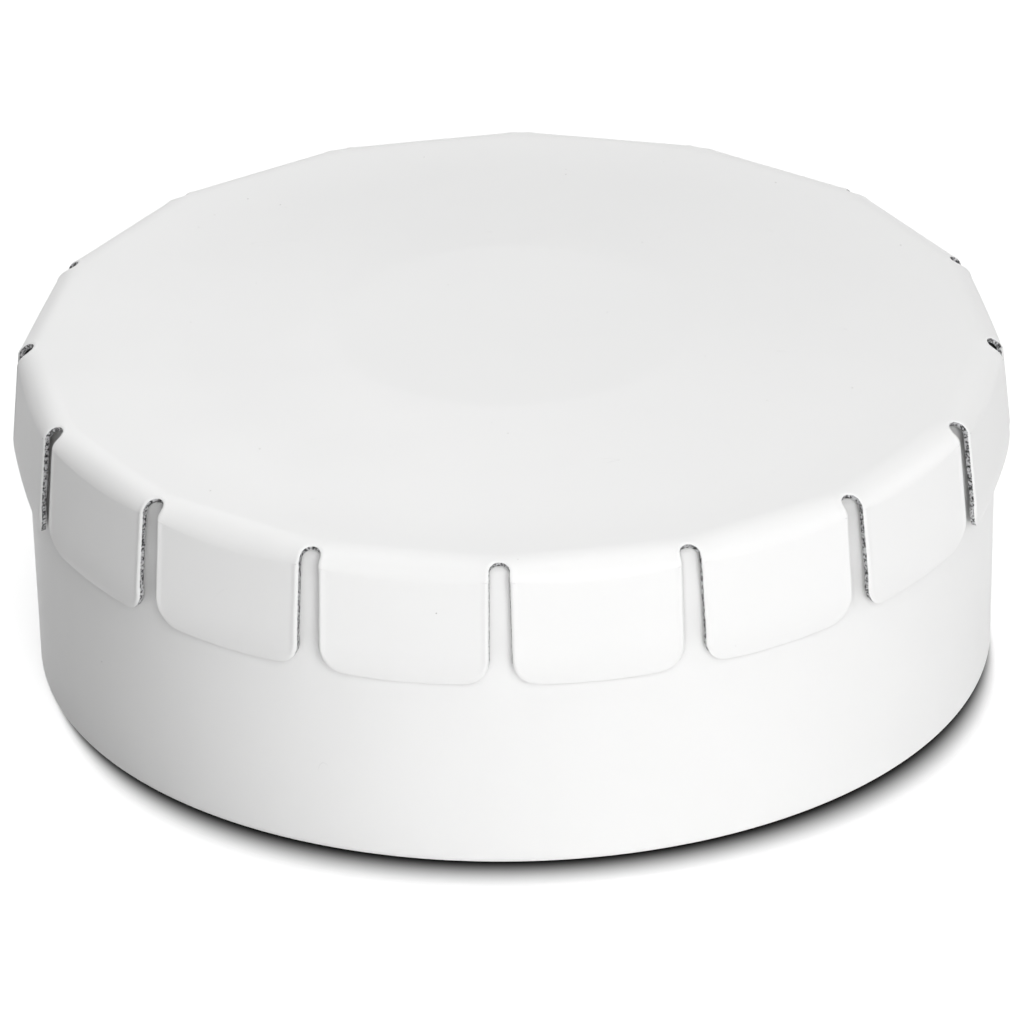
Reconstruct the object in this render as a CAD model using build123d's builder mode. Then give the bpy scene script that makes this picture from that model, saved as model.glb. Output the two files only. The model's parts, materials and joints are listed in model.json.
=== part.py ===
from build123d import *

import os
from math import asin, cos, degrees, radians, sin, sqrt, tan

# A round press-to-open mint tin of lacquered tinplate, in millimetres.
# The origin is the centre of the base, on the surface it stands on, with +Z up.
# Pressing the middle of the lid snaps its cone inside out and splays the tabs,
# which lets go of the tin. The lid is one stamping on the real tin: here it is
# cut along the folds that flex, so that the zones can move.

# Tin: a drawn cup with a rolled rim
plate = 0.23  # thickness of the tinplate, lid and tin alike
wall_r = 24.0  # outside of the wall where the tabs close on it
wall_draft = 0.37  # how much narrower the wall is at the base
tin_height = 16.4  # table to the top of the rolled rim
base_fillet = 0.35  # outside radius where the wall turns into the base
base_recess = 0.6  # how far the base panel stands off the table
ring_width = 3.0  # standing ring round the base panel, from the step to the wall
step_width = 0.6  # width of that step
curl_r = 0.8  # outside radius of the rolled rim
curl_turn = 250  # degrees that the rim is rolled through

# Lid: a shallow cone with a flat disc, a rounded many-sided shoulder and a skirt of tabs
tab_count = 16
disc_r = 8.45  # flat disc in the middle, the place to press
cone_rise = 0.89  # disc above the flat land round the cone
land_width = 0.7  # flat land between the cone and the shoulder, at the middle of a side
shoulder_r = 0.9  # outside radius of the shoulder
side_r = 80.0  # radius of the slight bow of a side, seen from above
skirt_depth = 6.55  # land to the lower edge of a tab, at the middle of the tab
tab_lean = 4.5  # degrees that a tab leans out from the shoulder down
tab_tuck = 14.0  # degrees that the lower edge of a tab leans back in
tuck_r = 6.0  # outside radius of the bend that tucks it in
tab_corner_r = 1.4  # rounding of the two lower corners of a tab
slot_width = 1.05  # slot between two tabs, where it leaves the shoulder
slot_reach = 0.7  # how far the slot runs in over the shoulder from the corner of the fold

# Clearances between the lid and the tin
seat_clearance = 0.03  # rolled rim to the underside of the lid
hook_clearance = 0.03  # wall to the lower edge of a tab
rim_clearance = 0.28  # rolled rim to the inside of the fold

overrun = 0.5  # how far cuts and blanks run past what they trim

# Heights of the lid
half_pitch = 180 / tab_count  # degrees from the middle of a tab to the middle of a slot
land_z = tin_height + seat_clearance + plate
disc_z = land_z + cone_rise
fold_z = land_z - shoulder_r * (1 - sin(radians(tab_lean)))
tab_low_z = land_z - skirt_depth
bend_z = tab_low_z + tuck_r * (sin(radians(tab_tuck)) + sin(radians(tab_lean)))

# Distances of the skirt from the axis, square to the middle of a side
tuck_inner_r = tuck_r - plate
tuck_drop = tuck_r * sin(radians(tab_tuck))
tuck_centre = wall_r + hook_clearance - sqrt(tuck_inner_r**2 - tuck_drop**2)
bend_x = tuck_centre + tuck_r * cos(radians(tab_lean))
fold_x = bend_x - (fold_z - bend_z) * tan(radians(tab_lean))
shoulder_x = fold_x - shoulder_r * cos(radians(tab_lean))
cone_r = shoulder_x - land_width

# Sides seen from above: each bows about an upright axis on its middle line
bow_x = fold_x - side_r


def fold_reach(gap):
    # distance from the axis to the fold, along a line that runs beside the corner at this gap
    middle = radians(half_pitch)
    return bow_x * cos(middle) + sqrt(side_r**2 - (bow_x * sin(middle) - gap) ** 2)


fold_corner_r = fold_reach(0)
side_half = fold_corner_r * sin(radians(half_pitch))
bow_turn = degrees(asin((side_half + overrun) / side_r))

# Slots and tabs, seen square to a side
slot_centre_r = fold_corner_r - slot_reach + slot_width / 2
tab_half = fold_reach(slot_width / 2) * sin(radians(half_pitch)) - slot_width / 2 * cos(radians(half_pitch))
tab_length = (fold_z - bend_z) / cos(radians(tab_lean)) + radians(tab_lean + tab_tuck) * tuck_r
blank_r = fold_x + tab_length  # the blank was a round disc, so a tab is longest at its middle
tab_corner_z = tab_low_z + blank_r - sqrt(blank_r**2 - tab_half**2)

# Rolled rim of the tin
curl_x = fold_x - plate / cos(radians(tab_lean)) - rim_clearance - curl_r
curl_z = tin_height - curl_r


def section_plane(azimuth):
    # upright plane through the axis: its x runs outwards, its y runs up
    a = radians(azimuth)
    return Plane(origin=(0, 0, 0), x_dir=(cos(a), sin(a), 0), z_dir=(sin(a), -cos(a), 0))


def bow_plane(azimuth):
    # the section plane of a side, turned about the axis of its bow to just past one end
    a = radians(azimuth)
    b = radians(azimuth - bow_turn)
    return Plane(
        origin=(bow_x * (cos(a) - cos(b)), bow_x * (sin(a) - sin(b)), 0),
        x_dir=(cos(b), sin(b), 0),
        z_dir=(sin(b), -cos(b), 0),
    )


def bow_axis(azimuth):
    a = radians(azimuth)
    return Axis((bow_x * cos(a), bow_x * sin(a), 0), (0, 0, 1))


def facing_plane(azimuth):
    # upright plane square to a side of the lid: its x runs along the side, its y runs up
    a = radians(azimuth)
    return Plane(origin=(0, 0, 0), x_dir=(-sin(a), cos(a), 0), z_dir=(cos(a), sin(a), 0))


def build_tin_body():
    base_r = wall_r - wall_draft
    recess_r = base_r - ring_width
    foot = Vector(wall_r, bend_z)
    curl_centre = Vector(curl_x, curl_z)
    wall_way = (foot - Vector(base_r, 0)).normalized()
    inwards = Vector(-wall_way.Y, wall_way.X)
    gap = foot - curl_centre
    # the neck runs tangent from the wall into the roll, and this is the only radius that fits
    neck_r = (curl_r**2 - gap.length**2) / (2 * (gap.dot(inwards) + curl_r))
    neck_centre = foot + inwards * neck_r
    neck_turn = (curl_centre - neck_centre).get_angle(foot - neck_centre)
    with BuildPart() as body:
        with BuildSketch(Plane.XZ):
            with BuildLine():
                cup = FilletPolyline(
                    (0, base_recess),
                    (recess_r - step_width, base_recess),
                    (recess_r, 0),
                    (base_r, 0),
                    (foot.X, foot.Y),
                    radius=base_fillet,
                )
                neck = JernArc(cup @ 1, cup % 1, neck_r, neck_turn)
                JernArc(neck @ 1, neck % 1, curl_r, curl_turn)
                offset(amount=plate, side=Side.LEFT)
            make_face()
        revolve(axis=Axis.Z)
    body.part.label = "tin_body"
    return body.part


def build_rim_side():
    # one side of the shoulder, mitred to its neighbours at the corners
    with BuildPart() as side:
        with BuildSketch(bow_plane(0)):
            with BuildLine():
                land = Line((cone_r * cos(radians(half_pitch)) - overrun, land_z), (shoulder_x, land_z))
                JernArc(land @ 1, land % 1, shoulder_r, tab_lean - 90)
                offset(amount=plate, side=Side.RIGHT)
            make_face()
        revolve(axis=bow_axis(0), revolution_arc=2 * bow_turn)
        split(bisect_by=section_plane(half_pitch), keep=Keep.TOP)
        split(bisect_by=section_plane(-half_pitch), keep=Keep.BOTTOM)
    return side.part


def build_lid_rim():
    side = build_rim_side()
    with BuildPart() as rim:
        with PolarLocations(0, tab_count, start_angle=half_pitch):
            add(side)
        with BuildSketch(Plane.XY.offset(land_z + overrun)):
            Circle(cone_r)
        extrude(amount=-(plate + 2 * overrun), mode=Mode.SUBTRACT)
        with BuildSketch(Plane.XY.offset(land_z + overrun)):
            with PolarLocations(slot_centre_r, tab_count):
                Circle(slot_width / 2)
                Rectangle(slot_reach + overrun, slot_width, align=(Align.MIN, Align.CENTER))
        extrude(amount=-(shoulder_r + plate + 2 * overrun), mode=Mode.SUBTRACT)
    rim.part.label = "lid_rim"
    return rim.part


def build_lid_cone():
    with BuildPart() as cone:
        with BuildSketch(Plane.XZ):
            with BuildLine():
                slope = Line((disc_r, disc_z), (cone_r, land_z))
                rim_edge = Line(slope @ 1, slope @ 1 - (0, plate))
                underside = Line(rim_edge @ 1, slope @ 0 - (0, plate))
                Line(underside @ 1, slope @ 0)
            make_face()
        revolve(axis=Axis.Z)
    cone.part.label = "lid_cone"
    return cone.part


def build_click_panel():
    with BuildPart() as panel:
        with BuildSketch(Plane.XY.offset(disc_z)):
            Circle(disc_r)
        extrude(amount=-plate)
    panel.part.label = "click_panel"
    return panel.part


def build_tab(number):
    azimuth = half_pitch * (2 * number - 1)
    with BuildPart() as tab:
        with BuildSketch(bow_plane(azimuth)):
            with BuildLine():
                leaf = Line((fold_x, fold_z), (bend_x, bend_z))
                run_on = degrees(overrun / tuck_r)
                JernArc(leaf @ 1, leaf % 1, tuck_r, -(tab_lean + tab_tuck + run_on))
                offset(amount=plate, side=Side.RIGHT)
            make_face()
        revolve(axis=bow_axis(azimuth), revolution_arc=2 * bow_turn)
        with BuildSketch(facing_plane(azimuth)) as outline:
            with BuildLine():
                low_edge = ThreePointArc(
                    (-tab_half, tab_corner_z), (0, tab_low_z), (tab_half, tab_corner_z)
                )
                Polyline(low_edge @ 1, (tab_half, land_z), (-tab_half, land_z), low_edge @ 0)
            make_face()
            fillet(outline.vertices().group_by(Axis.Y)[0], tab_corner_r)
        extrude(amount=fold_corner_r + overrun, mode=Mode.INTERSECT)
    tab.part.label = f"tab_{number:02d}"
    return tab.part


def main():
    os.makedirs("parts", exist_ok=True)
    pieces = [build_tin_body(), build_lid_rim(), build_lid_cone(), build_click_panel()]
    pieces += [build_tab(number) for number in range(1, tab_count + 1)]
    for piece in pieces:
        export_step(piece, f"parts/{piece.label}.step")
        print(piece.label, round(piece.volume, 3))


main()
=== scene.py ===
import json
from math import asin, atan2, cos, hypot, pi, radians, sin, sqrt, tan

import bpy
from mathutils import Euler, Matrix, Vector


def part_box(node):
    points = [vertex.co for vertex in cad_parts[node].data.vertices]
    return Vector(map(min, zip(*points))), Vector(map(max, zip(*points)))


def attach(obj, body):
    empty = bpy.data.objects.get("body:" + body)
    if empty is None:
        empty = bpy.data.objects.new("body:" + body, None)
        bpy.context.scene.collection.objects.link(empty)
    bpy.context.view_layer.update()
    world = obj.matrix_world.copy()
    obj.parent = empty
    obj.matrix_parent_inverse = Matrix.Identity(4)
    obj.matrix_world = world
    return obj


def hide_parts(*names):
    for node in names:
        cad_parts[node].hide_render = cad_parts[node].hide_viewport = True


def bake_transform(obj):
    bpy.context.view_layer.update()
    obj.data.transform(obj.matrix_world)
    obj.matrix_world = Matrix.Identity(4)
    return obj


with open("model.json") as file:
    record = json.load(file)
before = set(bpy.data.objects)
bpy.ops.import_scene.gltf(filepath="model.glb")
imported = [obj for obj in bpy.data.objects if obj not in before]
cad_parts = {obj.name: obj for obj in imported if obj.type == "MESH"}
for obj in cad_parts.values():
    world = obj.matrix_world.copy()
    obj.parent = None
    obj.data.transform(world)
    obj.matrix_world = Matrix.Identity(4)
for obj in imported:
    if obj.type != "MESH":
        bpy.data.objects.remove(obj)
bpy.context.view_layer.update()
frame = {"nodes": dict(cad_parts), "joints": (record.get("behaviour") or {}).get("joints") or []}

mm = 0.001
tabNames = sorted(name for name in frame["nodes"] if name.startswith("tab_"))
pitch = 2 * pi / len(tabNames)  # from one tab to the next
halfPitch = pitch / 2
sharpAngle = radians(50)  # faces that meet more steeply than this keep a sharp edge

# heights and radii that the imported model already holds
tinBox, coneBox, discBox = [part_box(name) for name in ("tin_body", "lid_cone", "click_panel")]
plate = discBox[1].z - discBox[0].z
discRadius, discZ = discBox[1].x, discBox[1].z
coneRadius = coneBox[1].x
landZ = coneBox[0].z + plate
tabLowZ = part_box(tabNames[0])[0].z
hingePlace = next(j for j in frame["joints"] if j["child"] == tabNames[0])["pos_m"]
hingeX, foldZ = hypot(*hingePlace[:2]), hingePlace[2]
print("frame read:", len(tabNames), "tabs, plate", round(plate / mm, 3), "mm")


# Node helpers

def feed(tree, socket, value):
    # a socket takes a link or a plain value
    if isinstance(value, bpy.types.Node):
        value = value.outputs[0]
    if isinstance(value, bpy.types.NodeSocket):
        tree.links.new(value, socket)
    else:
        socket.default_value = value


def addNode(tree, kind, inputs=None, **settings):
    node = tree.nodes.new(kind)
    for name, value in settings.items():
        setattr(node, name, value)
    for key, value in (inputs or {}).items():
        feed(tree, node.inputs[key], value)
    return node


def addMath(tree, operation, *values):
    return addNode(tree, "ShaderNodeMath", dict(enumerate(values)), operation=operation).outputs[0]


def mapRange(tree, value, low, high, toLow=0.0, toHigh=1.0, kind="SMOOTHSTEP"):
    node = addNode(tree, "ShaderNodeMapRange", {0: value, 1: low, 2: high, 3: toLow, 4: toHigh},
                   interpolation_type=kind)
    return node.outputs[0]


def addNoise(tree, place, scale, detail, roughness=0.5):
    node = addNode(tree, "ShaderNodeTexNoise",
                   {"Vector": place, "Scale": scale, "Detail": detail, "Roughness": roughness})
    return node.outputs[0]


def objectPlace(tree):
    return addNode(tree, "ShaderNodeTexCoord").outputs["Object"]


def newGroup(name, kind, inputs, outputs):
    tree = bpy.data.node_groups.new(name, kind)
    for label, socketKind, value in inputs:
        socket = tree.interface.new_socket(name=label, in_out="INPUT", socket_type=socketKind)
        if value is not None:
            socket.default_value = value
    for label, socketKind in outputs:
        tree.interface.new_socket(name=label, in_out="OUTPUT", socket_type=socketKind)
    return tree, addNode(tree, "NodeGroupInput").outputs, addNode(tree, "NodeGroupOutput").inputs


# Shader groups shared by the finishes

noiseLow, noiseHigh = 0.3, 0.7  # most of a noise lies between these

lacquerGrain = {
    "speckCell": 0.8 * mm,  # the room that one dust speck has
    # a hair scratch is a thin level line of a stretched noise, kept only in a few patches
    "hairSize": 2.0 * mm, "hairStretch": (0.2, 2.4, 0.6), "hairTurn": radians(68), "hairDetail": 1.0,
    "hairLevel": 0.62, "hairWidth": 0.003,
    "patchSize": 3.0 * mm, "patchStart": 0.8, "patchGrowth": 0.3, "patchFull": 0.82,
    "peelDetail": 1.5, "peelRoughness": 0.4,
    "mottleSize": 7.0 * mm, "mottleDetail": 2.0,
}


def makeLacquerFlaws():
    # dust specks, hair scratches, orange peel and a slow mottle, on object coordinates
    grain = lacquerGrain
    tree, given, out = newGroup(
        "lacquerFlaws", "ShaderNodeTree",
        [("Speck Share", "NodeSocketFloat", 0.12), ("Speck Size", "NodeSocketFloat", 0.05 * mm),
         ("Scratch Share", "NodeSocketFloat", 0.3), ("Peel Size", "NodeSocketFloat", 0.9 * mm)],
        [("Specks", "NodeSocketFloat"), ("Scratches", "NodeSocketFloat"),
         ("Peel", "NodeSocketFloat"), ("Mottle", "NodeSocketFloat")])
    place = objectPlace(tree)
    dots = addNode(tree, "ShaderNodeTexVoronoi", {"Vector": place, "Scale": 1 / grain["speckCell"]})
    chance = addNode(tree, "ShaderNodeSeparateColor", {0: dots.outputs["Color"]}).outputs
    widest = addMath(tree, "DIVIDE", given["Speck Size"], grain["speckCell"])
    radius = addMath(tree, "MULTIPLY", chance[1], widest)
    near = addMath(tree, "LESS_THAN", dots.outputs["Distance"], radius)
    chosen = addMath(tree, "LESS_THAN", chance[0], given["Speck Share"])
    feed(tree, out["Specks"], addMath(tree, "MULTIPLY", near, chosen))
    stretched = addNode(tree, "ShaderNodeMapping",
                        {"Vector": place, "Rotation": Euler((0.0, 0.0, grain["hairTurn"])),
                         "Scale": Vector(grain["hairStretch"])})
    hair = addNoise(tree, stretched, 1 / grain["hairSize"], grain["hairDetail"])
    offLine = addMath(tree, "ABSOLUTE", addMath(tree, "SUBTRACT", hair, grain["hairLevel"]))
    line = mapRange(tree, offLine, 0.0, grain["hairWidth"], 1.0, 0.0)
    patch = addNoise(tree, place, 1 / grain["patchSize"], 0.0)
    growth = addMath(tree, "MULTIPLY", given["Scratch Share"], grain["patchGrowth"])
    patchLow = addMath(tree, "SUBTRACT", grain["patchStart"], growth)
    kept = mapRange(tree, patch, patchLow, grain["patchFull"])
    feed(tree, out["Scratches"], addMath(tree, "MULTIPLY", line, kept))
    peelScale = addMath(tree, "DIVIDE", 1.0, given["Peel Size"])
    peel = addNoise(tree, place, peelScale, grain["peelDetail"], grain["peelRoughness"])
    feed(tree, out["Peel"], peel)
    feed(tree, out["Mottle"], addNoise(tree, place, 1 / grain["mottleSize"], grain["mottleDetail"]))
    return tree


metalGrain = {
    "lineStretch": (1.0, 0.02, 0.4), "lineDetail": 3.0,
    "speckleDetail": 2.0, "speckleRoughness": 0.65,
    "spangleSize": 1.6 * mm,
}


def makeSheetMetal():
    # bare tinplate: rolling lines one way, spangle, and a dark and bright speckle where it is torn
    grain = metalGrain
    tree, given, out = newGroup(
        "sheetMetal", "ShaderNodeTree",
        [("Line Size", "NodeSocketFloat", 0.05 * mm), ("Speckle Size", "NodeSocketFloat", 0.06 * mm)],
        [("Lines", "NodeSocketFloat"), ("Speckle", "NodeSocketFloat"), ("Spangle", "NodeSocketFloat")])
    place = objectPlace(tree)
    drawn = addNode(tree, "ShaderNodeMapping", {"Vector": place, "Scale": Vector(grain["lineStretch"])})
    lineScale = addMath(tree, "DIVIDE", 1.0, given["Line Size"])
    feed(tree, out["Lines"], addNoise(tree, drawn, lineScale, grain["lineDetail"]))
    tornScale = addMath(tree, "DIVIDE", 1.0, given["Speckle Size"])
    torn = addNoise(tree, place, tornScale, grain["speckleDetail"], grain["speckleRoughness"])
    feed(tree, out["Speckle"], torn)
    flakes = addNode(tree, "ShaderNodeTexVoronoi",
                     {"Vector": place, "Scale": 1 / grain["spangleSize"]})
    feed(tree, out["Spangle"], addNode(tree, "ShaderNodeSeparateColor", {0: flakes.outputs["Color"]}))
    return tree


def newMaterial(name):
    material = bpy.data.materials.new(name)
    material.use_nodes = True
    tree = material.node_tree
    tree.nodes.clear()
    shader = addNode(tree, "ShaderNodeBsdfPrincipled")
    addNode(tree, "ShaderNodeOutputMaterial", {"Surface": shader})
    return material, tree, shader


def mixColour(tree, share, first, second):
    return addNode(tree, "ShaderNodeMix", {0: share, 6: first, 7: second}, data_type="RGBA").outputs[2]


def placeGroup(tree, group, inputs=None):
    return addNode(tree, "ShaderNodeGroup", inputs, node_tree=group).outputs


def addBump(tree, shader, height, distance):
    bump = addNode(tree, "ShaderNodeBump", {"Height": height, "Distance": distance})
    feed(tree, shader.inputs["Normal"], bump)


lacquerFlaws = makeLacquerFlaws()
sheetMetal = makeSheetMetal()


def makeWhiteLacquer(name, look):
    material, tree, shader = newMaterial(name)
    flaws = placeGroup(tree, lacquerFlaws, {
        "Speck Share": look["speckShare"], "Speck Size": look["speckSize"],
        "Scratch Share": look["scratchShare"], "Peel Size": look["peelSize"]})
    cloudy = mixColour(tree, flaws["Mottle"], look["colour"], look["shade"])
    dusty = mixColour(tree, flaws["Specks"], cloudy, look["speckColour"])
    scratch = addMath(tree, "MULTIPLY", flaws["Scratches"], look["scratchStrength"])
    colour = mixColour(tree, scratch, dusty, look["scratchColour"])
    rough = mapRange(tree, flaws["Mottle"], noiseLow, noiseHigh, look["gloss"], look["dull"], "LINEAR")
    if look.get("wearHeight"):
        # the standing ring is rubbed through to the plate
        metal = placeGroup(tree, sheetMetal)
        place = addNode(tree, "ShaderNodeSeparateXYZ", {0: objectPlace(tree)})
        low = mapRange(tree, place.outputs["Z"], 0.0, look["wearHeight"], 1.0, 0.0)
        wear = addMath(tree, "MULTIPLY", low, metal["Lines"])
        rubbed = mapRange(tree, wear, look["wearStart"], look["wearFull"])
        colour = mixColour(tree, rubbed, colour, look["wearColour"])
        feed(tree, shader.inputs["Metallic"], addMath(tree, "MULTIPLY", rubbed, look["wearMetal"]))
    feed(tree, shader.inputs["Base Color"], colour)
    feed(tree, shader.inputs["Roughness"], rough)
    shader.inputs["Specular IOR Level"].default_value = look["specular"]
    raised = addMath(tree, "MULTIPLY", flaws["Specks"], look["speckHeight"])
    addBump(tree, shader, addMath(tree, "ADD", flaws["Peel"], raised), look["peelDepth"])
    return material


def makeCutEdge(look):
    # torn steel at the cuts: near black in the tears, silvery between
    material, tree, shader = newMaterial("cutEdge")
    speckle = placeGroup(tree, sheetMetal, {"Speckle Size": look["speckleSize"]})["Speckle"]
    bright = mapRange(tree, speckle, look["tearLevel"], look["steelLevel"])
    colour = mixColour(tree, bright, look["tearColour"], look["steelColour"])
    feed(tree, shader.inputs["Base Color"], colour)
    rough = mapRange(tree, speckle, noiseLow, noiseHigh, look["dull"], look["gloss"])
    feed(tree, shader.inputs["Roughness"], rough)
    shader.inputs["Metallic"].default_value = look["metallic"]
    addBump(tree, shader, speckle, look["depth"])
    return material


def makeBareTinplate(look):
    material, tree, shader = newMaterial("bareTinplate")
    metal = placeGroup(tree, sheetMetal, {"Line Size": look["lineSize"]})
    tint = mixColour(tree, metal["Lines"], look["colour"], look["shade"])
    flake = addMath(tree, "MULTIPLY", metal["Spangle"], look["spangleStrength"])
    feed(tree, shader.inputs["Base Color"], mixColour(tree, flake, tint, look["spangleColour"]))
    rough = mapRange(tree, metal["Lines"], noiseLow, noiseHigh, look["gloss"], look["dull"])
    feed(tree, shader.inputs["Roughness"], rough)
    shader.inputs["Metallic"].default_value = look["metallic"]
    addBump(tree, shader, metal["Lines"], look["lineDepth"])
    return material


lidLook = {
    "colour": (0.905, 0.905, 0.9, 1), "shade": (0.885, 0.885, 0.882, 1),
    "specular": 0.32, "gloss": 0.38, "dull": 0.46,
    "peelSize": 0.9 * mm, "peelDepth": 0.0006 * mm,
    "speckShare": 0.22, "speckSize": 0.045 * mm, "speckColour": (0.55, 0.54, 0.53, 1),
    "speckHeight": 3.0,  # against the orange peel
    "scratchShare": 0.3, "scratchStrength": 0.25, "scratchColour": (0.45, 0.45, 0.45, 1),
}
wallLook = dict(
    lidLook, speckShare=0.08, scratchShare=0.1,
    wearHeight=0.12 * mm, wearStart=0.54, wearFull=0.68, wearMetal=0.9, wearColour=(0.5, 0.5, 0.5, 1))
edgeLook = {
    "speckleSize": 0.12 * mm, "tearLevel": 0.4, "steelLevel": 0.58, "depth": 0.05 * mm,
    "metallic": 0.3, "dull": 0.55, "gloss": 0.3,
    "tearColour": (0.02, 0.02, 0.021, 1), "steelColour": (0.6, 0.6, 0.61, 1),
}
tinplateLook = {
    "colour": (0.66, 0.66, 0.65, 1), "shade": (0.56, 0.56, 0.56, 1),
    "spangleColour": (0.74, 0.74, 0.73, 1), "spangleStrength": 0.25,
    "metallic": 1.0, "gloss": 0.22, "dull": 0.36,
    "lineSize": 0.05 * mm, "lineDepth": 0.0006 * mm,
}
lidLacquer = makeWhiteLacquer("lidLacquer", lidLook)
wallLacquer = makeWhiteLacquer("wallLacquer", wallLook)
cutEdge = makeCutEdge(edgeLook)
bareTinplate = makeBareTinplate(tinplateLook)
print("finishes made")


# Lid section, square to the middle of a side: land, rounded shoulder, leaning tab with a tucked edge

skirt = {
    "lean": radians(4.5),  # how far a tab leans out on its way down
    "tuck": radians(14.0),  # how far its lower edge leans back in
    "tuckRadius": 6.0 * mm,
    "cornerRadius": 1.4 * mm,
    "shoulderWidth": 1.5 * mm,  # run over which the lid turns down, gently at first
    "foldTurn": radians(81),  # turn of the shoulder's ellipse at the fold, which leaves a slight crease
    "foldSag": 0.3 * mm,  # how much lower the fold runs in the middle of a side
    "slotWidth": 1.05 * mm,
    "slotReach": 0.85 * mm,  # slot end to the corner of the fold
    "sideBow": 80.0 * mm,  # radius of the slight bow of a side, seen from above
    "ridgeWidth": 0.34 * mm,  # the shear raises a ridge beside a cut and rolls the plate over at it
    "ridgeCrest": 0.15 * mm,
    "ridgeHeight": 0.04 * mm,
    "ridgeRoom": 0.016 * mm,  # how far the skirt stands in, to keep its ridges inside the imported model
    "rollDepth": 0.07 * mm,
    "leastRoll": 0.45,  # share of the roll that is left at the end of a slot
    "hemWidth": 0.6 * mm,  # how far up the lower edge of a tab is rolled in
    "hemDepth": 0.05 * mm,
    "lip": 0.03 * mm,  # rounding of the lacquer over a cut edge
    "lipSteps": 2,
    "burr": 0.022 * mm,
    "burrSize": 0.25 * mm,
    "cornerBurr": 4,  # how much rougher the plate is torn where two cuts meet
}
foldX = hingeX - skirt["ridgeRoom"]
bendZ = tabLowZ + skirt["tuckRadius"] * (sin(skirt["tuck"]) + sin(skirt["lean"]))
bendX = foldX + (foldZ - bendZ) * tan(skirt["lean"])
tuckX = bendX - skirt["tuckRadius"] * cos(skirt["lean"])
tuckZ = bendZ - skirt["tuckRadius"] * sin(skirt["lean"])
shoulderX = foldX - skirt["shoulderWidth"]
mitre = tan(halfPitch)
slotR = skirt["slotWidth"] / 2


def bowed(x, y):
    # the ends of a side stand back a little from its middle
    return x - y * y / (2 * skirt["sideBow"])


def sideEnd(x, back=0.0):
    # half length of a side where its section is at x, up to a line that stands back from the mitre
    curve = mitre / (2 * skirt["sideBow"])
    return (sqrt(1 + 4 * curve * (mitre * x - back)) - 1) / (2 * curve)


cornerR = sideEnd(foldX) / sin(halfPitch)
slotCentreR = cornerR - skirt["slotReach"] + slotR
slotX, slotY = slotCentreR * cos(halfPitch), slotCentreR * sin(halfPitch)
tabHalf = sideEnd(foldX, slotR / cos(halfPitch))


def tabSkinX(z):
    if z > bendZ:
        return foldX + (foldZ - z) * tan(skirt["lean"])
    return tuckX + sqrt(skirt["tuckRadius"] ** 2 - (z - tuckZ) ** 2)


def foldPoint(y):
    # where a tab starts, lowest in the middle of a side
    z = foldZ - skirt["foldSag"] * max(0.0, 1 - (y / tabHalf) ** 2)
    return tabSkinX(z), z


# Meshes: a skin is rows of points, marked where they lie on a cut and by how far they roll down

def drawnDown(distance):
    # how deep the skin lies at this distance from a cut, less than nothing on the ridge
    crest, height = skirt["ridgeCrest"], skirt["ridgeHeight"]
    if distance > crest:
        share = min(1.0, (distance - crest) / (skirt["ridgeWidth"] - crest))
        return -height * (0.5 + 0.5 * cos(pi * share))
    return (height + skirt["rollDepth"]) * (1 - distance / crest) ** 2 - height


def skinMesh(name, rows, cutRows, downRows):
    mesh = bpy.data.meshes.new(name)
    width = len(rows[0])
    faces = [(r * width + c, (r + 1) * width + c, (r + 1) * width + c + 1, r * width + c + 1)
             for r in range(len(rows) - 1) for c in range(width - 1)]
    mesh.from_pydata([point for row in rows for point in row], [], faces)
    for label, values in (("cut", cutRows), ("down", downRows)):
        mark = mesh.attributes.new(label, "FLOAT", "POINT")
        mark.data.foreach_set("value", [float(value) for row in values for value in row])
    mesh.polygons.foreach_set("use_smooth", [True] * len(mesh.polygons))
    return mesh


def latheMesh(name, profile, steps, zones):
    # profile points (r, z) run outwards along the underside and back in over the top
    mesh = bpy.data.meshes.new(name)
    points, rings = [], []
    for r, z in profile:
        count = 1 if r < 1e-9 else steps
        rings.append(range(len(points), len(points) + count))
        points += [(r * cos(2 * pi * i / steps), r * sin(2 * pi * i / steps), z) for i in range(count)]
    faces, materials = [], []
    for low, high, zone in zip(rings, rings[1:], zones):
        for i in range(steps):
            n = (i + 1) % steps
            if len(low) == 1:
                faces.append((low[0], high[n], high[i]))
            elif len(high) == 1:
                faces.append((low[i], low[n], high[0]))
            else:
                faces.append((low[i], low[n], high[n], high[i]))
            materials.append(zone)
    mesh.from_pydata(points, [], faces)
    mesh.polygons.foreach_set("use_smooth", [True] * len(faces))
    mesh.polygons.foreach_set("material_index", materials)
    mesh.set_sharp_from_angle(angle=sharpAngle)
    return mesh


def finishPiece(nodes):
    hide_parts(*nodes)


def addPiece(name, mesh, materials, body, nodes):
    for material in materials:
        mesh.materials.append(material)
    piece = bpy.data.objects.new(name, mesh)
    bpy.context.scene.collection.objects.link(piece)
    finishPiece(nodes)
    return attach(piece, body)


# A tree that makes plate from a skin: a turned row of copies, thickness inwards, ragged cut edges

def readMark(tree, name, kind="FLOAT"):
    return addNode(tree, "GeometryNodeInputNamedAttribute", {"Name": name}, data_type=kind).outputs[0]


def storeMark(tree, geometry, name, value, domain, kind="FLOAT"):
    node = addNode(tree, "GeometryNodeStoreNamedAttribute", {"Geometry": geometry, "Name": name},
                   data_type=kind, domain=domain)
    feed(tree, node.inputs["Value"], value)
    return node


def scaled(tree, vector, factor):
    return addNode(tree, "ShaderNodeVectorMath", {0: vector, "Scale": factor}, operation="SCALE")


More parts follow.
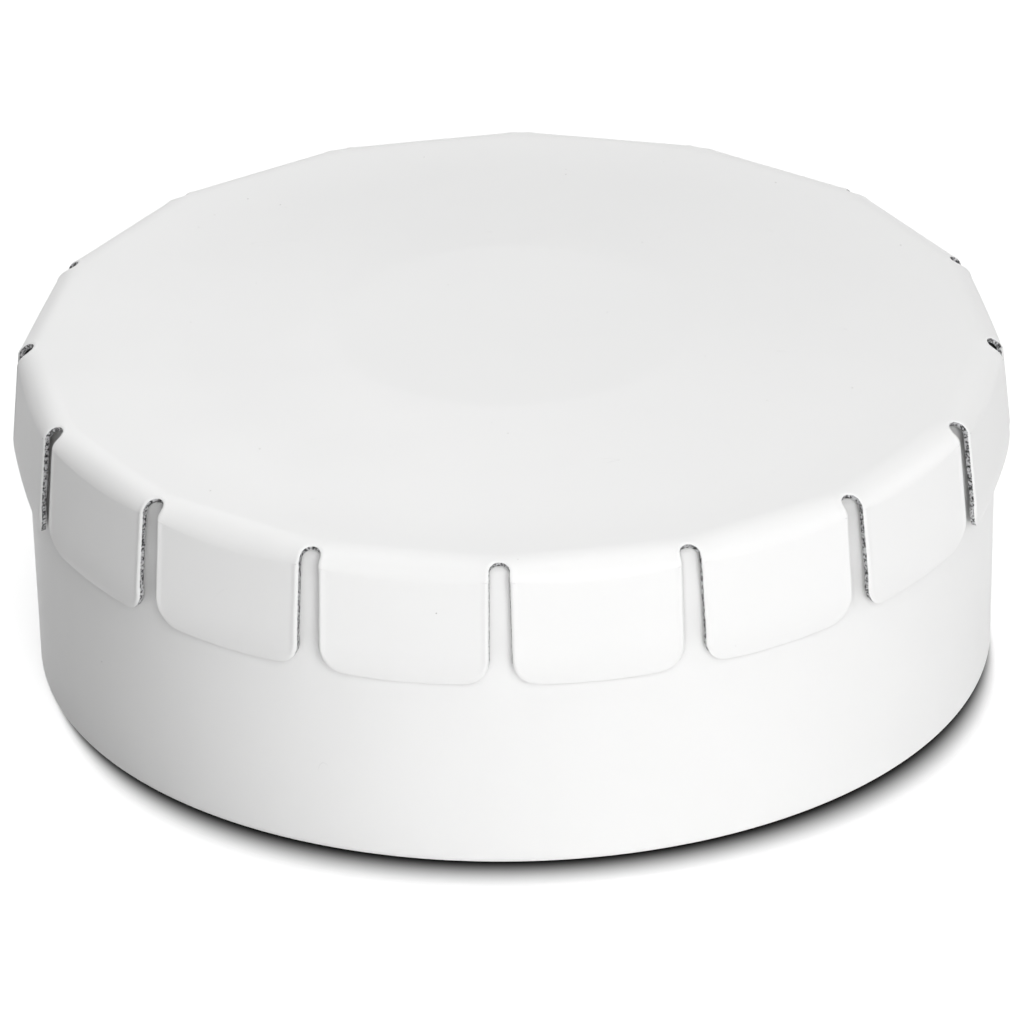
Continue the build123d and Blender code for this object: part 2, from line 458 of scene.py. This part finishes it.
def makePlateTree():
    tree, given, out = newGroup(
        "plateFromSkin", "GeometryNodeTree",
        [("Skin", "NodeSocketGeometry", None), ("Plate", "NodeSocketFloat", plate),
         ("Copies", "NodeSocketInt", 1), ("Turn", "NodeSocketFloat", 0.0),
         ("Pitch", "NodeSocketFloat", pitch), ("Burr", "NodeSocketFloat", 0.0),
         ("Burr Scale", "NodeSocketFloat", 1 / skirt["burrSize"]), ("Seed", "NodeSocketFloat", 0.0),
         ("Face", "NodeSocketMaterial", None), ("Inside", "NodeSocketMaterial", None),
         ("Edge", "NodeSocketMaterial", None)],
        [("Plate", "NodeSocketGeometry")])
    mergeGap = 0.002 * mm
    sideZone = 2.0
    zoneGap = 0.1  # a zone's number is told from the next with this room
    wholeCut = 0.99  # an edge with both ends on a cut reads more than this
    # copies stand on the axis of the lid and turn about it
    noStep = Vector((0, 0, 0))
    points = addNode(tree, "GeometryNodeMeshLine", {"Count": given["Copies"], "Offset": noStep})
    copyNumber = addNode(tree, "GeometryNodeInputIndex")
    angle = addMath(tree, "MULTIPLY_ADD", copyNumber, given["Pitch"], given["Turn"])
    turn = addNode(tree, "ShaderNodeCombineXYZ", {"Z": angle})
    copies = addNode(tree, "GeometryNodeInstanceOnPoints",
                     {"Points": points, "Instance": given["Skin"], "Rotation": turn})
    row = addNode(tree, "GeometryNodeRealizeInstances", {"Geometry": copies})
    merged = addNode(tree, "GeometryNodeMergeByDistance", {"Geometry": row, "Distance": mergeGap})
    normal = addNode(tree, "GeometryNodeInputNormal")
    skin = storeMark(tree, merged, "way", normal, "POINT", "FLOAT_VECTOR")
    way = readMark(tree, "way", "FLOAT_VECTOR")
    # thickness goes inwards from the skin: zone 0 is the skin, 1 the inside, 2 the cut sides
    inwards = addMath(tree, "MULTIPLY", given["Plate"], -1.0)
    pushed = addNode(tree, "GeometryNodeExtrudeMesh", {
        "Mesh": skin, "Offset": way, "Individual": False, "Offset Scale": inwards}, mode="FACES")
    zoneNumber = addMath(tree, "MULTIPLY_ADD", pushed.outputs["Side"], sideZone, pushed.outputs["Top"])
    zoned = storeMark(tree, pushed, "zone", zoneNumber, "FACE")
    both = addNode(tree, "GeometryNodeJoinGeometry")
    feed(tree, both.inputs[0], addNode(tree, "GeometryNodeFlipFaces", {"Mesh": zoned}))
    feed(tree, both.inputs[0], skin)
    solid = addNode(tree, "GeometryNodeMergeByDistance", {"Geometry": both, "Distance": mergeGap})
    # the plate is rolled over beside the cuts, and their edges are ragged
    cut, down = readMark(tree, "cut"), readMark(tree, "down")
    rolled = scaled(tree, way, addMath(tree, "MULTIPLY", down, -1.0))
    noise = addNode(tree, "ShaderNodeTexNoise",
                    {"Vector": addNode(tree, "GeometryNodeInputPosition"), "W": given["Seed"],
                     "Scale": given["Burr Scale"], "Detail": 1.0}, noise_dimensions="4D")
    middle = Vector((0.5, 0.5, 0.5))  # of the noise, so that it tears both ways
    centred = addNode(tree, "ShaderNodeVectorMath", {0: noise.outputs["Color"], 1: middle},
                      operation="SUBTRACT")
    torn = scaled(tree, centred, addMath(tree, "MULTIPLY", cut, given["Burr"]))
    moved = addNode(tree, "ShaderNodeVectorMath", {0: rolled, 1: torn}, operation="ADD")
    shaped = addNode(tree, "GeometryNodeSetPosition", {"Geometry": solid, "Offset": moved})
    # the lips between a skin and a cut side carry a bevel weight: there an edge reads half of the
    # mark that cut sides have
    zone = readMark(tree, "zone")
    isSide = addMath(tree, "COMPARE", zone, sideZone, zoneGap)
    sided = storeMark(tree, shaped, "side", isSide, "FACE")
    halfWay = addMath(tree, "COMPARE", readMark(tree, "side"), 0.5, 0.2)
    lip = addMath(tree, "MULTIPLY", halfWay, addMath(tree, "GREATER_THAN", cut, wholeCut))
    weighted = storeMark(tree, sided, "bevel_weight_edge", lip, "EDGE")
    smooth = addNode(tree, "GeometryNodeSetShadeSmooth", {"Geometry": weighted})
    last = addNode(tree, "GeometryNodeRealizeInstances", {"Geometry": smooth})
    for number, name in enumerate(("Face", "Inside", "Edge")):
        mine = addMath(tree, "COMPARE", zone, float(number), zoneGap)
        last = addNode(tree, "GeometryNodeSetMaterial",
                       {"Geometry": last, "Selection": mine, "Material": given[name]})
    feed(tree, out[0], last)
    return tree


def plateFromSkin(name, mesh, inputs):
    # runs the tree on a skin, rounds the lips and keeps a plain mesh
    inputs = {**inputs, "Face": lidLacquer, "Inside": bareTinplate, "Edge": cutEdge}
    carrier = bpy.data.objects.new(name + "_skin", mesh)
    bpy.context.scene.collection.objects.link(carrier)
    modifier = carrier.modifiers.new("plate", "NODES")
    modifier.node_group = plateTree
    for item in plateTree.interface.items_tree:
        if item.in_out == "INPUT" and item.name in inputs:
            modifier[item.identifier] = inputs[item.name]
    bevel = carrier.modifiers.new("lips", "BEVEL")
    bevel.limit_method = "WEIGHT"
    bevel.width = skirt["lip"]
    bevel.segments = skirt["lipSteps"]
    graph = bpy.context.evaluated_depsgraph_get()
    made = bpy.data.meshes.new_from_object(carrier.evaluated_get(graph), preserve_all_data_layers=True,
                                           depsgraph=graph)
    made.name = name
    for spare in ("cut", "down", "way", "zone", "side", "bevel_weight_edge"):
        if spare in made.attributes:
            made.attributes.remove(made.attributes[spare])
    made.set_sharp_from_angle(angle=sharpAngle)
    bpy.data.objects.remove(carrier)
    piece = bpy.data.objects.new(name, made)
    bpy.context.scene.collection.objects.link(piece)
    return piece


plateTree = makePlateTree()
sideColumns = 40
# places along a side from -1 to 1, closer together towards the slots
spread = [sin(pi / 2 * (2 * c / sideColumns - 1)) for c in range(sideColumns + 1)]


# Shoulder of the lid: one side, repeated round the axis

def shoulderSkin():
    rows, cutRows, downRows = [], [], []
    foldTurn = skirt["foldTurn"]
    landRows, beforeRows, roundRows, edgeRows = 4, 12, 14, 14

    def shoulderTurn(x):
        return asin(min(1.0, (x - shoulderX) / skirt["shoulderWidth"]) * sin(foldTurn))

    def slotGap(x, y):
        # distance from a point of the side to the nearer slot, seen from above
        y = abs(y)
        along = x * cos(halfPitch) + y * sin(halfPitch)
        beside = x * sin(halfPitch) - y * cos(halfPitch)
        return max(0.0, (beside if along > slotCentreR else hypot(slotCentreR - along, beside)) - slotR)

    def addRow(x, end, cut):
        # a row at one turn of the shoulder, its ends at x on the slots or on the mitres
        turn = shoulderTurn(x)
        row, downRow = [], []
        for v in spread:
            y = v * end
            lastX, lastZ = foldPoint(y)
            across = (lastX - shoulderX) * sin(turn) / sin(foldTurn)
            drop = (landZ - lastZ) * (1 - cos(turn)) / (1 - cos(foldTurn))
            here = bowed(shoulderX + across, y)
            strength = min(1.0, max(skirt["leastRoll"], (here - slotX) / slotR))
            row.append((here, y, landZ - drop))
            downRow.append(drawnDown(slotGap(here, y)) * strength)
        rows.append(row)
        downRows.append(downRow)
        cutRows.append([cut if abs(v) == 1 else 0 for v in spread])

    # round inner edge, then the flat land
    circle = [(coneRadius * cos(halfPitch * v), coneRadius * sin(halfPitch * v), landZ) for v in spread]
    landEnd = sideEnd(shoulderX)
    outer = [(bowed(shoulderX, v * landEnd), v * landEnd, landZ) for v in spread]
    for i in range(landRows):
        share = i / landRows
        rows.append([tuple(a + (b - a) * share for a, b in zip(p, q)) for p, q in zip(circle, outer)])
        cutRows.append([0] * len(spread))
        downRows.append([0] * len(spread))
    # shoulder down to the end of the slot
    tipX = (slotCentreR - slotR) * cos(halfPitch)
    tipX += ((slotCentreR - slotR) * sin(halfPitch)) ** 2 / (2 * skirt["sideBow"])
    for i in range(beforeRows):
        x = shoulderX + (tipX - shoulderX) * sin(pi / 2 * i / beforeRows)
        addRow(x, sideEnd(x), 0)
    # round the end of the slot, with a ragged spot where the round cut meets the straight one
    for i in range(roundRows + 1):
        turn = halfPitch + pi / 2 * i / roundRows
        end = slotY - slotR * sin(turn)
        x = slotX - slotR * cos(turn) + end * end / (2 * skirt["sideBow"])
        addRow(x, end, skirt["cornerBurr"] if i == roundRows else 1)
    # straight edges of the slot down to the fold
    startTurn = shoulderTurn(x)
    for i in range(1, edgeRows + 1):
        turn = startTurn + (foldTurn - startTurn) * i / edgeRows
        x = shoulderX + skirt["shoulderWidth"] * sin(turn) / sin(foldTurn)
        addRow(x, sideEnd(x, slotR / cos(halfPitch)), 1)
    return skinMesh("shoulderSkin", rows, cutRows, downRows)


shoulder = plateFromSkin("lid_shoulder", shoulderSkin(), {
    "Copies": len(tabNames), "Turn": halfPitch, "Burr": skirt["burr"], "Seed": 3.0})
finishPiece(["lid_rim"])
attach(shoulder, "lid")
print("shoulder made,", len(shoulder.data.polygons), "faces")


# Spring tabs: a tongue with an arched lower edge and rounded corners, cut from a round blank

def tabSkin():
    flatColumns, cornerColumns, tabRows = 18, 11, 60
    rollStart = 0.2  # share of a corner's height below which the plate isn't rolled over
    corner = skirt["cornerRadius"]
    tuckLength = (skirt["lean"] + skirt["tuck"]) * skirt["tuckRadius"]
    length = (foldZ - bendZ) / cos(skirt["lean"]) + tuckLength
    blankR = foldX + length

    def archZ(y):
        return tabLowZ + blankR - sqrt(blankR * blankR - y * y)

    flatEnd = (tabHalf - corner) / (1 - corner / blankR)
    startTurn = asin(flatEnd / blankR)
    cornerZ = archZ(flatEnd) + corner * cos(startTurn)
    flatPlaces = [flatEnd * (2 * c / flatColumns - 1) for c in range(flatColumns + 1)]
    lowEdge = [(y, archZ(y)) for y in flatPlaces]
    for i in range(1, cornerColumns + 1):
        turn = startTurn + (pi / 2 - startTurn) * i / cornerColumns
        y, z = tabHalf - corner + corner * sin(turn), cornerZ - corner * cos(turn)
        lowEdge = [(-y, z)] + lowEdge + [(y, z)]
    rows, cutRows, downRows = [], [], []
    for r in range(tabRows + 1):
        share = sin(pi / 2 * r / tabRows)
        row, downRow = [], []
        for y, low in lowEdge:
            topZ = foldPoint(y)[1]
            z = topZ + (low - topZ) * share
            over, under = abs(y) - (tabHalf - corner), cornerZ - z
            if over > 0 and under > 0:
                gap = corner - hypot(over, under)
            else:
                gap = min(tabHalf - abs(y), z - archZ(y))
            strength = min(1.0, max(0.0, (z - tabLowZ) / corner - rollStart))
            hem = skirt["hemDepth"] * max(0.0, 1 - (z - low) / skirt["hemWidth"]) ** 2
            row.append((bowed(tabSkinX(z), y), y, z))
            downRow.append(drawnDown(max(gap, 0.0)) * strength + hem)
        rows.append(row)
        downRows.append(downRow)
        cutRows.append([int(r == tabRows or c in (0, len(lowEdge) - 1)) for c in range(len(lowEdge))])
    return skinMesh("tabSkin", rows, cutRows, downRows)


for number, name in enumerate(tabNames):
    tab = plateFromSkin("spring_" + name, tabSkin(), {
        "Turn": halfPitch * (2 * number + 1), "Burr": skirt["burr"], "Seed": number + 10.0})
    finishPiece([name])
    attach(tab, name)
print("tabs made,", len(tab.data.polygons), "faces each")


# Cone of the lid: a slope with soft ends, in wedges between the shoulder and the disc

cone = {
    "innerEase": 0.7 * mm,  # over which the slope starts at the disc
    "outerEase": 4.5 * mm,  # over which it dies out at the land
    "rows": 56,
}


def coneHeights():
    def ramp(share):
        share = min(max(share, 0.0), 1.0)
        return share * share * (3 - 2 * share)

    span = coneRadius - discRadius
    radii = [discRadius + span * (1 - cos(pi * i / cone["rows"])) / 2 for i in range(cone["rows"] + 1)]
    drops = [0.0]
    for a, b in zip(radii, radii[1:]):
        middle = (a + b) / 2
        fromDisc, toLand = middle - discRadius, coneRadius - middle
        steep = ramp(fromDisc / cone["innerEase"]) * ramp(toLand / cone["outerEase"])
        drops.append(drops[-1] + steep * (b - a))
    return [(r, discZ - (discZ - landZ) * drop / drops[-1]) for r, drop in zip(radii, drops)]


def wedgeSkin():
    rows = [[(r * cos(halfPitch * v), r * sin(halfPitch * v), z) for v in spread]
            for r, z in coneHeights()]
    noMarks = [[0] * len(spread)] * len(rows)
    return skinMesh("wedgeSkin", rows, noMarks, noMarks)


for number in range(len(tabNames)):
    azimuth = halfPitch * (2 * number + 1)
    wedge = plateFromSkin(f"cone_{number + 1:02d}", wedgeSkin(), {"Turn": azimuth})
    finishPiece(["lid_cone"])
    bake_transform(wedge)
print("cone made,", len(wedge.data.polygons), "faces a wedge")


# Disc in the middle

disc = {"steps": 512, "rings": 4}
under = [(discRadius * i / disc["rings"], discZ - plate) for i in range(disc["rings"] + 1)]
over = [(r, discZ) for r, z in reversed(under)]
discZones = [1] * disc["rings"] + [0] * (disc["rings"] + 1)
discMesh = latheMesh("click_disc", under + over, disc["steps"], discZones)
addPiece("click_disc", discMesh, [lidLacquer, bareTinplate], "click_panel", ["click_panel"])
print("disc made,", len(discMesh.polygons), "faces")


# Tin body: one drawn cup with a set-up base and a rolled rim

tin = {
    "wallRadius": 24.0 * mm,
    "wallDraft": 0.37 * mm,  # how much narrower the wall is at its foot
    "baseRecess": 0.6 * mm, "ringWidth": 3.0 * mm, "stepWidth": 0.6 * mm, "baseFillet": 0.35 * mm,
    "curlRadius": 0.8 * mm, "curlTurn": radians(250),
    "rimClearance": 0.28 * mm,  # between the rolled rim and the skirt of the lid
    "steps": 256,  # round the axis
    "turnStep": radians(7), "arcStep": 0.5 * mm, "leastSteps": 4,  # how finely its bends are divided
}


def tracePath(start, heading, moves):
    # points with their headings, along straight runs (length) and arcs to either side (radius, turn)
    x, z = start
    path = [(x, z, heading)]
    for move in moves:
        if len(move) == 1:
            x, z = x + move[0] * cos(heading), z + move[0] * sin(heading)
            path.append((x, z, heading))
            continue
        radius, turn = move
        side = 1 if turn > 0 else -1
        cx, cz = x - side * radius * sin(heading), z + side * radius * cos(heading)
        count = max(tin["leastSteps"], round(abs(turn) / tin["turnStep"]),
                    round(radius * abs(turn) / tin["arcStep"]))
        for i in range(1, count + 1):
            now = heading + turn * i / count
            path.append((cx + side * radius * sin(now), cz - side * radius * cos(now), now))
        x, z, heading = path[-1]
    return path


def tinProfile():
    baseR = tin["wallRadius"] - tin["wallDraft"]
    recessR = baseR - tin["ringWidth"]
    foot = Vector((tin["wallRadius"], bendZ))  # where the wall turns into the neck
    wallTurn = atan2(foot.y, tin["wallDraft"])
    # the neck is one arc from there to the curl of the rim
    curlX = foldX - plate / cos(skirt["lean"]) - tin["rimClearance"] - tin["curlRadius"]
    curl = Vector((curlX, tinBox[1].z - tin["curlRadius"]))
    inwards = Vector((-sin(wallTurn), cos(wallTurn)))
    gap = foot - curl
    neckR = (tin["curlRadius"] ** 2 - gap.length_squared) / (2 * (gap.dot(inwards) + tin["curlRadius"]))
    toCurl, toFoot = curl - (foot + inwards * neckR), -inwards
    neckTurn = toFoot.angle(toCurl)
    fillet = tin["baseFillet"]
    stepTurn = atan2(tin["baseRecess"], tin["stepWidth"])
    stepEase, wallEase = fillet * tan(stepTurn / 2), fillet * tan(wallTurn / 2)
    stepLength = hypot(tin["baseRecess"], tin["stepWidth"])
    wallLength = (foot - Vector((baseR, 0))).length
    moves = [
        (recessR - tin["stepWidth"] - stepEase,), (fillet, -stepTurn),
        (stepLength - 2 * stepEase,), (fillet, stepTurn),
        (tin["ringWidth"] - stepEase - wallEase,), (fillet, wallTurn),
        (wallLength - wallEase,), (neckR, neckTurn), (tin["curlRadius"], tin["curlTurn"]),
    ]
    path = tracePath((0.0, tin["baseRecess"]), 0.0, moves)
    outer = [(x, z) for x, z, way in path]
    inner = [(x - plate * sin(way), z + plate * cos(way)) for x, z, way in path]
    inner[0] = (0.0, inner[0][1])
    return outer, inner[::-1]


outer, inner = tinProfile()
tinZones = [0] * (len(outer) - 1) + [1] + [2] * (len(inner) - 1)
tinMesh = latheMesh("tin_shell", outer + inner, tin["steps"], tinZones)
addPiece("tin_shell", tinMesh, [wallLacquer, cutEdge, bareTinplate], "tin", ["tin_body"])
print("tin made,", len(tinMesh.polygons), "faces")


# Floor, lamps and camera

floorLook = {
    "size": 3.0, "white": 0.75,
    "glow": 0.55, "farGlow": 1.0, "near": 45 * mm, "far": 160 * mm,  # a glow that is seen but lights nothing
    # how white other light finds it, most so towards bounceTurn
    "bounce": 0.92, "farBounce": 0.4, "bounceTurn": radians(-50), "bounceSpan": (-0.3, 0.9),
    # painted shade in the floor's colour as the eye sees it: deep close round the tin, widest towards
    # contactTurn
    "contactRadius": 23.3 * mm, "contactWidth": 2.05 * mm, "contactSideWidth": 0.1 * mm,
    "contactTurn": radians(-80), "contactSpan": (0.0, 0.95),
}


def seenRays(tree, rays):
    # 1 for the eye, for reflections and for what is seen through glass, 0 for other light
    mirrored = addMath(tree, "MAXIMUM", rays["Is Camera Ray"], rays["Is Glossy Ray"])
    return addMath(tree, "MAXIMUM", mirrored, rays["Is Transmission Ray"])


def makeFloor():
    look = floorLook
    material = bpy.data.materials.new("paleFloor")
    material.use_nodes = True
    tree = material.node_tree
    tree.nodes.clear()
    rays = addNode(tree, "ShaderNodeLightPath").outputs
    seen = seenRays(tree, rays)
    place = objectPlace(tree)
    distance = addNode(tree, "ShaderNodeVectorMath", {0: place}, operation="LENGTH").outputs["Value"]

    def facing(turn, span, least, most):
        # goes from least to most as a place comes round to this side of the tin
        side = Vector((cos(turn), sin(turn), 0))
        along = addNode(tree, "ShaderNodeVectorMath", {0: place, 1: side}, operation="DOT_PRODUCT")
        cosine = addMath(tree, "DIVIDE", along.outputs["Value"], distance)
        return mapRange(tree, cosine, span[0], span[1], least, most)

    bounce = facing(look["bounceTurn"], look["bounceSpan"], look["farBounce"], look["bounce"])
    width = facing(look["contactTurn"], look["contactSpan"],
                   look["contactSideWidth"], look["contactWidth"])
    # painted shade: for camera rays the floor's colour and glow are darkened in a bell round the foot of the
    # tin
    past = addMath(tree, "DIVIDE", addMath(tree, "SUBTRACT", distance, look["contactRadius"]), width)
    falling = addMath(tree, "MULTIPLY", addMath(tree, "MULTIPLY", past, past), -1.0)
    shade = addMath(tree, "EXPONENT", falling)
    lit = addMath(tree, "SUBTRACT", 1.0, addMath(tree, "MULTIPLY", shade, rays["Is Camera Ray"]))
    white = mapRange(tree, seen, 0.0, 1.0, bounce, look["white"], "LINEAR")
    tone = addMath(tree, "MULTIPLY", white, lit)
    colour = addNode(tree, "ShaderNodeCombineColor", {0: tone, 1: tone, 2: tone})
    diffuse = addNode(tree, "ShaderNodeBsdfDiffuse", {"Color": colour})
    glow = mapRange(tree, distance, look["near"], look["far"], look["glow"], look["farGlow"])
    strength = addMath(tree, "MULTIPLY", addMath(tree, "MULTIPLY", seen, glow), lit)
    shown = addNode(tree, "ShaderNodeEmission", {"Strength": strength})
    both = addNode(tree, "ShaderNodeAddShader", {0: diffuse, 1: shown})
    addNode(tree, "ShaderNodeOutputMaterial", {"Surface": both})
    half = look["size"] / 2
    mesh = bpy.data.meshes.new("floor")
    corners = [(-half, -half, 0), (half, -half, 0), (half, half, 0), (-half, half, 0)]
    mesh.from_pydata(corners, [], [(0, 1, 2, 3)])
    mesh.materials.append(material)
    floor = bpy.data.objects.new("floor", mesh)
    bpy.context.scene.collection.objects.link(floor)


lampLook = {
    "distance": 0.32, "size": 0.22,
    # azimuth from +X, elevation, share of full light
    "lamps": {
        "key": (radians(280), radians(26), 0.685),
        "leftFill": (radians(205), radians(34), 0.035),
        "rightFill": (radians(10), radians(20), 0.25),
        "backFill": (radians(120), radians(40), 0.3),
        "top": (radians(292), radians(88), 0.39),
    },
    "noGlare": ["key"],  # its glare on the top of the lid would hide the shape from behind
    "sky": 0.0, "backdrop": 1.0,  # the world as a light, and as it is seen
}


def addLamp(name, azimuth, elevation, share):
    lamp = bpy.data.lights.new(name, "AREA")
    lamp.shape = "SQUARE"
    lamp.size = lampLook["size"]
    distance = lampLook["distance"]
    lamp.energy = pi * pi * distance * distance * share  # a share of 1 lights a white sheet to white
    holder = bpy.data.objects.new(name, lamp)
    way = Vector((cos(azimuth) * cos(elevation), sin(azimuth) * cos(elevation), sin(elevation)))
    holder.location = way * distance
    holder.rotation_euler = way.to_track_quat("Z", "Y").to_euler()
    holder.visible_glossy = name not in lampLook["noGlare"]
    bpy.context.scene.collection.objects.link(holder)


def makeWorld():
    world = bpy.data.worlds.new("studio")
    bpy.context.scene.world = world
    world.use_nodes = True
    tree = world.node_tree
    tree.nodes.clear()
    seen = seenRays(tree, addNode(tree, "ShaderNodeLightPath").outputs)
    strength = mapRange(tree, seen, 0.0, 1.0, lampLook["sky"], lampLook["backdrop"], "LINEAR")
    glow = addNode(tree, "ShaderNodeBackground", {"Color": (1, 1, 1, 1), "Strength": strength})
    addNode(tree, "ShaderNodeOutputWorld", {"Surface": glow})


cameraFit = {
    # fitted to the slot ends and the base line of the photo, in its 1024 pixel frame
    "aim": Vector((0, 0, 7.2 * mm)), "aimPixel": (513.22, 510.94), "distance": 1000 * mm,
    "turn": radians(1.748), "elevation": radians(27.237), "roll": radians(-1.125),
    "pixels": 1024, "focalPixels": 20137,
    "sensor": 36, "clip": (0.05, 20),
}


def makeCamera():
    camera = bpy.data.cameras.new("camera")
    pixels, aimPixel = cameraFit["pixels"], cameraFit["aimPixel"]
    camera.sensor_width = cameraFit["sensor"]
    camera.lens = cameraFit["focalPixels"] / pixels * camera.sensor_width
    camera.shift_x = (pixels / 2 - aimPixel[0]) / pixels
    camera.shift_y = (aimPixel[1] - pixels / 2) / pixels
    camera.clip_start, camera.clip_end = cameraFit["clip"]
    holder = bpy.data.objects.new("camera", camera)
    turn, elevation = cameraFit["turn"], cameraFit["elevation"]
    back = Vector((sin(turn) * cos(elevation), -cos(turn) * cos(elevation), sin(elevation)))
    holder.location = cameraFit["aim"] + back * cameraFit["distance"]
    look = back.to_track_quat("Z", "Y").to_matrix().to_4x4()
    roll = Euler((0, 0, cameraFit["roll"])).to_matrix().to_4x4()
    holder.rotation_euler = (look @ roll).to_euler()
    bpy.context.scene.collection.objects.link(holder)
    bpy.context.scene.camera = holder


makeFloor()
for lampName, placing in lampLook["lamps"].items():
    addLamp(lampName, *placing)
makeWorld()
makeCamera()
bpy.context.scene.view_settings.view_transform = "Standard"
print("stage set")
